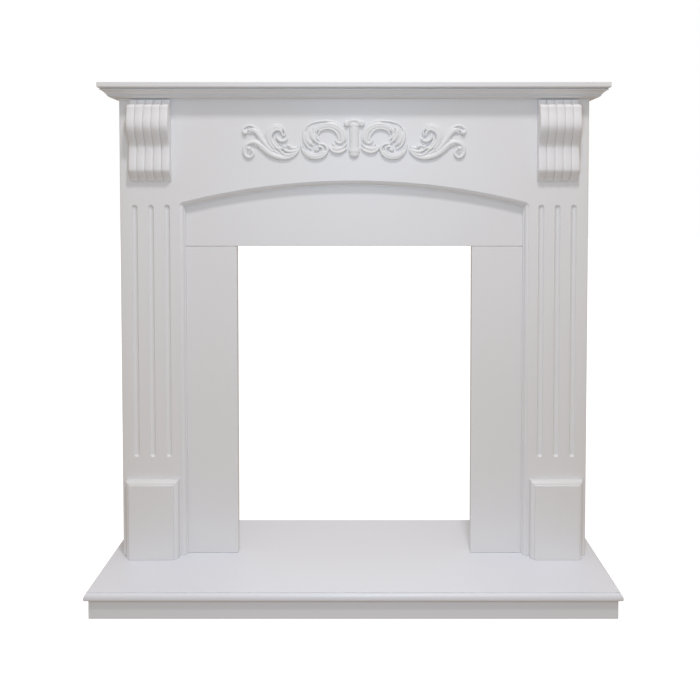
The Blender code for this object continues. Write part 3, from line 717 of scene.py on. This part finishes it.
# Each ridge: its half widths at the start, middle and end, how far its middle stands out, and its line
ornamentRidges = [
    # left tendril: low body, rim, two ridges
    ((2.1, 2.9, 2.7), 0.2, [(105.3, 28.7), (100.3, 29.4), (96.3, 26.0), (92.3, 20.4), (87.3, 14.5)]),
    ((1.0, 1.3, 0.9), 0.5, [(111.1, 26.5), (111.7, 29.5), (109.8, 32.8), (105.8, 34.6), (101.3, 34.0),
        (97.3, 31.4), (93.8, 27.0), (91.3, 22.0), (88.8, 17.0)]),
    ((1.1, 1.7, 1.2), 1.3, [(106.5, 29.0), (104.3, 30.6), (100.8, 30.7), (97.5, 28.7), (94.8, 25.0),
        (92.5, 21.0), (89.8, 17.0), (85.8, 12.5), (81.3, 8.2)]),
    ((0.9, 1.3, 1.0), 0.8, [(106.1, 27.0), (103.3, 27.8), (100.0, 27.6), (97.3, 25.2), (95.3, 21.7),
        (92.8, 18.2)]),
    # trunk and its end volute
    ((1.9, 3.1, 1.9), 0.1, [(102.3, 16.5), (96.3, 15.0), (91.3, 11.5), (85.3, 7.0), (78.3, 3.7),
        (71.3, 2.8), (63.3, 5.0)]),
    ((1.0, 2.1, 1.3), 1.0, [(55.0, 11.0), (58.3, 6.4), (63.3, 3.2), (69.3, 1.8), (75.3, 2.4),
        (80.8, 4.8), (86.3, 9.0), (92.3, 13.7), (96.3, 16.4), (100.3, 17.9), (104.5, 17.3),
        (108.3, 15.0), (110.1, 11.0), (109.9, 6.8), (107.5, 3.6), (104.1, 3.0), (101.4, 5.2),
        (101.1, 8.2), (102.9, 10.2), (105.1, 10.1)]),
    ((0.9, 1.3, 0.8), 0.8, [(71.3, 5.5), (75.8, 6.4), (81.3, 10.0), (85.8, 14.0), (89.8, 17.2),
        (94.3, 18.8), (99.3, 19.8), (104.3, 19.4)]),
    # big volute: low body, three stems, crescent eye
    ((2.7, 2.9, 2.5), 0.0, [(79.3, 10.0), (84.3, 17.0), (85.3, 25.0), (81.3, 31.5), (76.3, 32.7),
        (71.8, 29.0)]),
    ((1.0, 1.5, 1.1), 0.8, [(73.3, 5.5), (78.3, 9.0), (83.0, 13.8), (86.7, 19.5), (87.5, 25.5),
        (85.5, 30.6), (81.5, 34.0), (76.8, 35.1), (72.5, 33.6), (69.8, 30.2), (69.1, 26.5),
        (70.3, 23.6)]),
    ((1.0, 1.6, 1.1), 1.5, [(70.3, 7.0), (74.8, 10.0), (79.5, 14.4), (82.7, 19.5), (83.3, 24.5),
        (81.3, 28.3), (77.5, 30.4), (74.1, 29.7), (72.3, 26.8), (72.0, 23.8)]),
    ((0.9, 1.4, 0.9), 1.1, [(70.8, 11.0), (75.1, 13.2), (78.5, 17.2), (80.0, 21.5), (79.5, 25.0)]),
    ((1.2, 2.0, 0.9), 1.3, [(77.1, 26.4), (77.5, 23.6), (75.7, 20.7), (72.7, 19.1), (69.3, 19.8),
        (66.4, 22.7)]),
    # leaves on the trunk
    ((1.0, 1.6, 0.6), 0.7, [(67.3, 15.4), (64.1, 12.8), (60.1, 12.2), (56.3, 13.4)]),
    ((1.2, 1.8, 0.6), 1.1, [(72.1, 13.4), (69.1, 10.1), (64.3, 8.6), (59.3, 9.4), (55.0, 11.8)]),
    ((1.2, 1.6, 0.6), 1.1, [(75.7, 10.8), (71.9, 7.0), (66.7, 5.1), (61.1, 6.4), (55.3, 10.4)]),
    # lower scroll
    ((2.3, 2.9, 2.5), 0.2, [(50.8, 11.0), (46.3, 5.4), (39.3, 3.6), (32.3, 5.5), (29.3, 10.0)]),
    ((0.9, 1.8, 1.0), 1.0, [(52.7, 16.5), (52.3, 12.0), (49.7, 7.0), (44.9, 3.1), (38.7, 1.9),
        (32.5, 3.2), (28.3, 6.6), (26.9, 11.0), (28.5, 14.6), (32.3, 16.4), (36.1, 15.6)]),
    ((0.9, 1.4, 1.0), 1.3, [(50.1, 14.0), (48.7, 10.4), (45.5, 7.4), (41.1, 5.9), (36.3, 6.4),
        (32.7, 8.6), (31.3, 11.4), (33.3, 13.4), (37.1, 13.2), (39.1, 11.2), (37.9, 9.4), (35.7, 9.7)]),
    # fan of leaves
    ((2.7, 3.3, 2.7), -0.6, [(48.3, 29.0), (47.3, 21.0), (42.3, 15.0)]),
    ((2.7, 3.3, 2.7), -0.6, [(43.3, 32.0), (42.3, 24.0), (38.3, 19.0)]),
    ((0.7, 1.5, 0.9), 0.7, [(47.7, 33.5), (49.9, 28.5), (50.4, 22.5), (48.9, 17.2), (45.5, 12.8),
        (41.9, 11.0)]),
    ((0.7, 1.5, 1.0), 0.9, [(44.5, 33.2), (46.5, 28.2), (46.3, 22.7), (44.1, 18.0), (40.7, 14.4)]),
    ((0.7, 1.5, 1.0), 1.1, [(40.9, 33.4), (42.7, 29.0), (42.0, 24.0), (39.3, 19.8), (35.7, 16.8)]),
    ((0.7, 1.1, 0.8), 0.7, [(37.7, 29.0), (38.5, 25.4), (36.9, 22.0), (34.9, 20.0)]),
    # ring: low body, outer rim, two ridges
    ((2.3, 2.7, 2.3), 0.0, [(37.3, 29.0), (33.3, 32.7), (25.8, 34.2), (19.0, 32.4), (13.8, 28.2),
        (11.9, 22.0), (12.9, 16.5)]),
    ((0.7, 1.1, 0.8), 0.2, [(47.7, 33.5), (42.8, 36.8), (35.8, 38.7), (27.3, 39.4), (19.3, 38.1),
        (12.8, 34.2), (8.9, 28.8), (7.5, 22.5), (8.1, 17.0)]),
    ((1.0, 1.7, 1.1), 1.1, [(38.4, 27.0), (37.1, 31.3), (33.1, 34.4), (26.3, 36.2), (19.3, 35.0),
        (14.1, 31.7), (10.7, 26.8), (9.7, 22.0), (10.7, 18.0)]),
    ((0.9, 1.4, 1.1), 1.0, [(35.7, 25.6), (33.9, 29.2), (29.3, 31.2), (24.9, 31.6), (20.3, 29.8),
        (16.9, 26.1), (15.5, 22.0), (16.3, 18.0)]),
    # lobes under the ring
    ((2.3, 2.9, 2.3), 0.0, [(23.3, 13.0), (17.3, 11.0), (10.3, 13.0)]),
    ((1.0, 1.5, 0.9), 0.8, [(18.9, 20.6), (16.9, 17.7), (13.3, 17.2), (9.5, 19.6)]),
    ((1.0, 1.6, 0.9), 1.0, [(21.5, 17.4), (18.4, 13.3), (14.3, 12.2), (10.1, 13.8), (7.5, 17.4)]),
    ((1.0, 1.8, 0.9), 1.0, [(25.5, 14.5), (22.4, 9.8), (17.1, 7.8), (11.3, 9.2), (6.7, 12.6)]),
    # cap over the drop on the centre line
    ((2.6, 3.6, 3.6), -0.3, [(7.6, 36.2), (4.0, 36.9), (0, 37.1), (-3.0, 37.0)]),
    ((0.9, 1.5, 1.5), 2.3, [(5.3, 37.4), (2.6, 39.2), (0, 39.7), (-2.6, 39.2)]),
    ((0.8, 1.4, 1.4), 2.3, [(4.6, 33.6), (2.3, 35.0), (0, 35.4), (-2.3, 35.0)]),
    ((1.3, 2.2, 1.5), 1.2, [(6.6, 39.6), (8.4, 36.8), (6.8, 33.0)]),
]
# Each boss: its place, its radius and how far its middle stands out
ornamentBosses = [
    (109.3, 27.5, 2.6, 1.0), (105.3, 11.6, 2.4, 1.2), (105.5, 9.4, 5.2, -3.0), (75.3, 11.5, 2.2, 0.9),
    (70.3, 13.5, 2.0, 0.9), (64.3, 14.0, 1.9, 0.8), (36.6, 10.4, 1.6, 1.6), (72.6, 22.6, 1.2, 0.6),
]
# The drop on the centre line: (height, half width) from the foot up
vaseOutline = [
    (2.2, 0.8), (2.7, 2.4), (3.9, 4.0), (5.6, 5.0), (7.2, 5.0), (8.6, 5.6), (10.4, 5.5), (12.4, 4.8),
    (15, 4.6), (19, 4.5), (24, 4.6), (28, 4.9), (32, 5.1), (35, 5.0), (37, 3.0),
]


def smoothLine(points, steps):
    # A smooth curve through all the points, each stretch led by the points on either side of it
    line = []
    ends = [points[0]] + list(points) + [points[-1]]
    for p, q, r, s in zip(ends, ends[1:], ends[2:], ends[3:]):
        for step in range(steps):
            t = step / steps
            line.append(tuple(
                0.5 * (2 * b + (c - a) * t + (2 * a - 5 * b + 4 * c - d) * t ** 2
                       + (3 * b - a - 3 * c + d) * t ** 3) for a, b, c, d in zip(p, q, r, s)))
    line.append(tuple(points[-1]))
    return line


def ridgeWidths(line, widths, thinnest):
    # Half widths that swell to the middle and close round at both ends
    lengths = [0.0]
    for a, b in zip(line, line[1:]):
        lengths.append(lengths[-1] + (Vector(b) - Vector(a)).length)
    total = lengths[-1]
    result = []
    for walked in lengths:
        share = walked / total
        ends = widths[0] + (widths[2] - widths[0]) * share
        half = ends + (widths[1] - ends) * math.sin(math.pi * share)
        toEnd = min(walked, total - walked)
        if toEnd < half:
            half = max(math.sqrt(half ** 2 - (half - toEnd) ** 2), thinnest)
        result.append(half)
    return result


def addRidge(widths, lift, points, settings):
    square = settings["square"]
    line = smoothLine(points, settings["bend"])
    curve = bpy.data.curves.new("ridge", "CURVE")
    curve.dimensions = "3D"
    curve.bevel_depth = 1.0
    curve.bevel_resolution = settings["tubeSteps"]
    curve.use_fill_caps = True
    spline = curve.splines.new("POLY")
    spline.points.add(len(line) - 1)
    halves = ridgeWidths(line, widths, settings["thinnest"])
    for point, (across, up), half in zip(spline.points, line, halves):
        point.co = (across * square, onlayBack - lift * square, up * square + settings["foot"], 1)
        point.radius = half * square
    ridge = bpy.data.objects.new("ridge", curve)
    bpy.context.scene.collection.objects.link(ridge)
    return ridge


def addVase(settings):
    clearSelection()
    square = settings["square"]
    rounded = smoothLine(vaseOutline, settings["bend"])
    bpy.ops.mesh.primitive_circle_add(vertices=settings["vaseSides"], radius=1, fill_type="NGON")
    vase = bpy.context.object
    nameIt(vase, "vase")

    def ring(vertices, up, half):
        for vertex in vertices:
            angle = math.atan2(vertex.co.y, vertex.co.x)
            vertex.co = (half * square * math.cos(angle), half * square * math.sin(angle), up * square)

    openPiece(vase)
    pickFaces(vase, allFaces)
    mesh = bmesh.from_edit_mesh(vase.data)
    ring(mesh.verts, *rounded[0])
    bmesh.update_edit_mesh(vase.data)
    for up, half in rounded[1:]:
        bpy.ops.mesh.extrude_region_move(TRANSFORM_OT_translate={"value": (0, 0, 0)})
        mesh = bmesh.from_edit_mesh(vase.data)
        ring([v for v in mesh.verts if v.select], up, half)
        bmesh.update_edit_mesh(vase.data)
    makeNormalsRight()
    closePiece()
    vase.scale.y = settings["vaseFlatness"]
    vase.location = (0, onlayBack - settings["vaseLift"] * square, settings["foot"])
    settle(vase)
    return vase


def addBoss(across, up, radius, lift, settings):
    clearSelection()
    square = settings["square"]
    bpy.ops.mesh.primitive_uv_sphere_add(
        segments=settings["bossSides"], ring_count=settings["bossRings"], radius=radius * square,
        location=(across * square, onlayBack - lift * square, settings["foot"] + up * square))
    boss = bpy.context.object
    settle(boss)
    return boss


def mirrorPiece(half):
    other = half.copy()
    other.data = half.data.copy()
    bpy.context.scene.collection.objects.link(other)
    other.scale.x = -1
    settle(other)
    openPiece(other)
    bpy.ops.mesh.select_all(action="SELECT")
    bpy.ops.mesh.flip_normals()
    closePiece()
    return other


def keepToSpace(piece, settings):
    # Cuts away what lies behind the ornament's flat back
    (left, bottom), (right, top) = settings["space"]
    space = addBlock("ornamentSpace", (left, onlayBack - settings["spaceDepth"], bottom),
                     (right, onlayBack, top))
    applyModifier(piece, "BOOLEAN", {"operation": "INTERSECT", "solver": "MANIFOLD", "object": space})
    bpy.data.objects.remove(space)


def buildOrnament(settings):
    ridges = [addRidge(widths, lift, points, settings) for widths, lift, points in ornamentRidges]
    choose(*ridges)
    bpy.ops.object.convert(target="MESH")
    pieces = list(bpy.context.selected_objects)
    for across, up, radius, lift in ornamentBosses:
        pieces.append(addBoss(across, up, radius, lift, settings))
    half = joinPieces(pieces)
    other = mirrorPiece(half)
    ornament = joinPieces([half, other, addVase(settings)])
    nameIt(ornament, "friezeOrnament")
    openPiece(ornament)
    bpy.ops.mesh.select_all(action="SELECT")
    bpy.ops.transform.resize(value=(1, settings["flatness"], 1), center_override=(0, onlayBack, 0))
    closePiece()
    applyModifier(ornament, "REMESH", {"mode": "VOXEL", "voxel_size": settings["voxel"]})
    applyModifier(ornament, "SMOOTH", {"factor": settings["softness"], "iterations": settings["softTimes"]})
    keepToSpace(ornament, settings)
    shadeSmooth(ornament, settings["smoothUnder"])
    print("ornament has", sum(len(face.vertices) - 2 for face in ornament.data.polygons), "triangles")
    finishPiece(ornament, "whiteOrnamentPaint", "frieze_ornament")


buildOrnament(ornamentSettings)
print("ornament is carved")


# Soft studio light: a key high in front, a cooler one by the camera, a broad one behind, pale surroundings
lightSettings = {
    "key": {"place": (0.22, -1.25, 3.07), "aim": (0.0, 0.0, 0.6), "size": 0.30, "power": 27.0,
            "colour": (1.0, 0.985, 1.0)},
    "front": {"place": (0.0, -1.45, 0.98), "aim": (0.0, 0.0, 0.85), "size": 0.45, "power": 6.3,
              "colour": (0.55, 0.72, 0.95)},
    "behind": {"place": (0.0, 1.6, 1.3), "aim": (0.0, 0.0, 0.1), "size": 1.6, "power": 2.6,
               "colour": (0.9, 0.97, 1.0)},
    "above": (0.54, 0.495, 0.455, 1.0),
    "below": (0.365, 0.300, 0.225, 1.0),
    "backdrop": (1.0, 1.0, 1.0, 1.0),
    "horizon": 0.3,  # half the height over which below turns into above
}


def placeSoftbox(name, settings):
    data = bpy.data.lights.new(name, "AREA")
    data.shape = "DISK"
    data.size = settings["size"]
    data.energy = settings["power"]
    data.color = settings["colour"]
    lamp = bpy.data.objects.new(name, data)
    lamp.location = settings["place"]
    lamp.visible_camera = False
    toAim = Vector(settings["aim"]) - Vector(settings["place"])
    lamp.rotation_euler = toAim.to_track_quat("-Z", "Y").to_euler()
    bpy.context.scene.collection.objects.link(lamp)


def lightTheRoom(settings):
    placeSoftbox("keyLight", settings["key"])
    placeSoftbox("frontLight", settings["front"])
    placeSoftbox("lightBehind", settings["behind"])
    world = bpy.data.worlds.new("paleStudio")
    world.use_nodes = True
    tree = world.node_tree
    background = tree.nodes["Background"]
    place = addNode(tree, "ShaderNodeTexCoord", {}, {}, "Generated")
    upward = addNode(tree, "ShaderNodeSeparateXYZ", {}, {0: place}, 2)
    share = addNode(tree, "ShaderNodeMapRange", {}, {
        0: upward, 1: -settings["horizon"], 2: settings["horizon"], 3: 0.0, 4: 1.0})
    around = addNode(tree, "ShaderNodeMix", {"data_type": "RGBA"}, {
        0: share, 6: settings["below"], 7: settings["above"]}, 2)
    seen = addNode(tree, "ShaderNodeLightPath", {}, {}, "Is Camera Ray")
    colour = addNode(tree, "ShaderNodeMix", {"data_type": "RGBA"}, {
        0: seen, 6: around, 7: settings["backdrop"]}, 2)
    tree.links.new(colour.socket, background.inputs["Color"])
    bpy.context.scene.world = world
    bpy.context.scene.view_settings.view_transform = "Standard"
    bpy.context.scene.view_settings.look = "None"


lightTheRoom(lightSettings)


# Pale floor that throws no light back on the fireplace and looks as white as the backdrop
floorSettings = {
    "size": 30, "colour": (0.35, 0.35, 0.35, 1.0), "roughness": 0.9,
    "glow": (1.0, 1.0, 1.0, 1.0), "glowStrength": 0.93,
}


def layFloor(settings):
    clearSelection()
    bpy.ops.mesh.primitive_plane_add(size=settings["size"], location=(0, 0, 0))
    floor = bpy.context.object
    floor.name = "studioFloor"
    floor.visible_diffuse = False
    floor.visible_glossy = False
    paint = bpy.data.materials.new("paleFloor")
    paint.use_nodes = True
    shader = paint.node_tree.nodes["Principled BSDF"]
    shader.inputs["Base Color"].default_value = settings["colour"]
    shader.inputs["Roughness"].default_value = settings["roughness"]
    shader.inputs["Emission Color"].default_value = settings["glow"]
    shader.inputs["Emission Strength"].default_value = settings["glowStrength"]
    floor.data.materials.append(paint)


layFloor(floorSettings)
print("studio is lit")
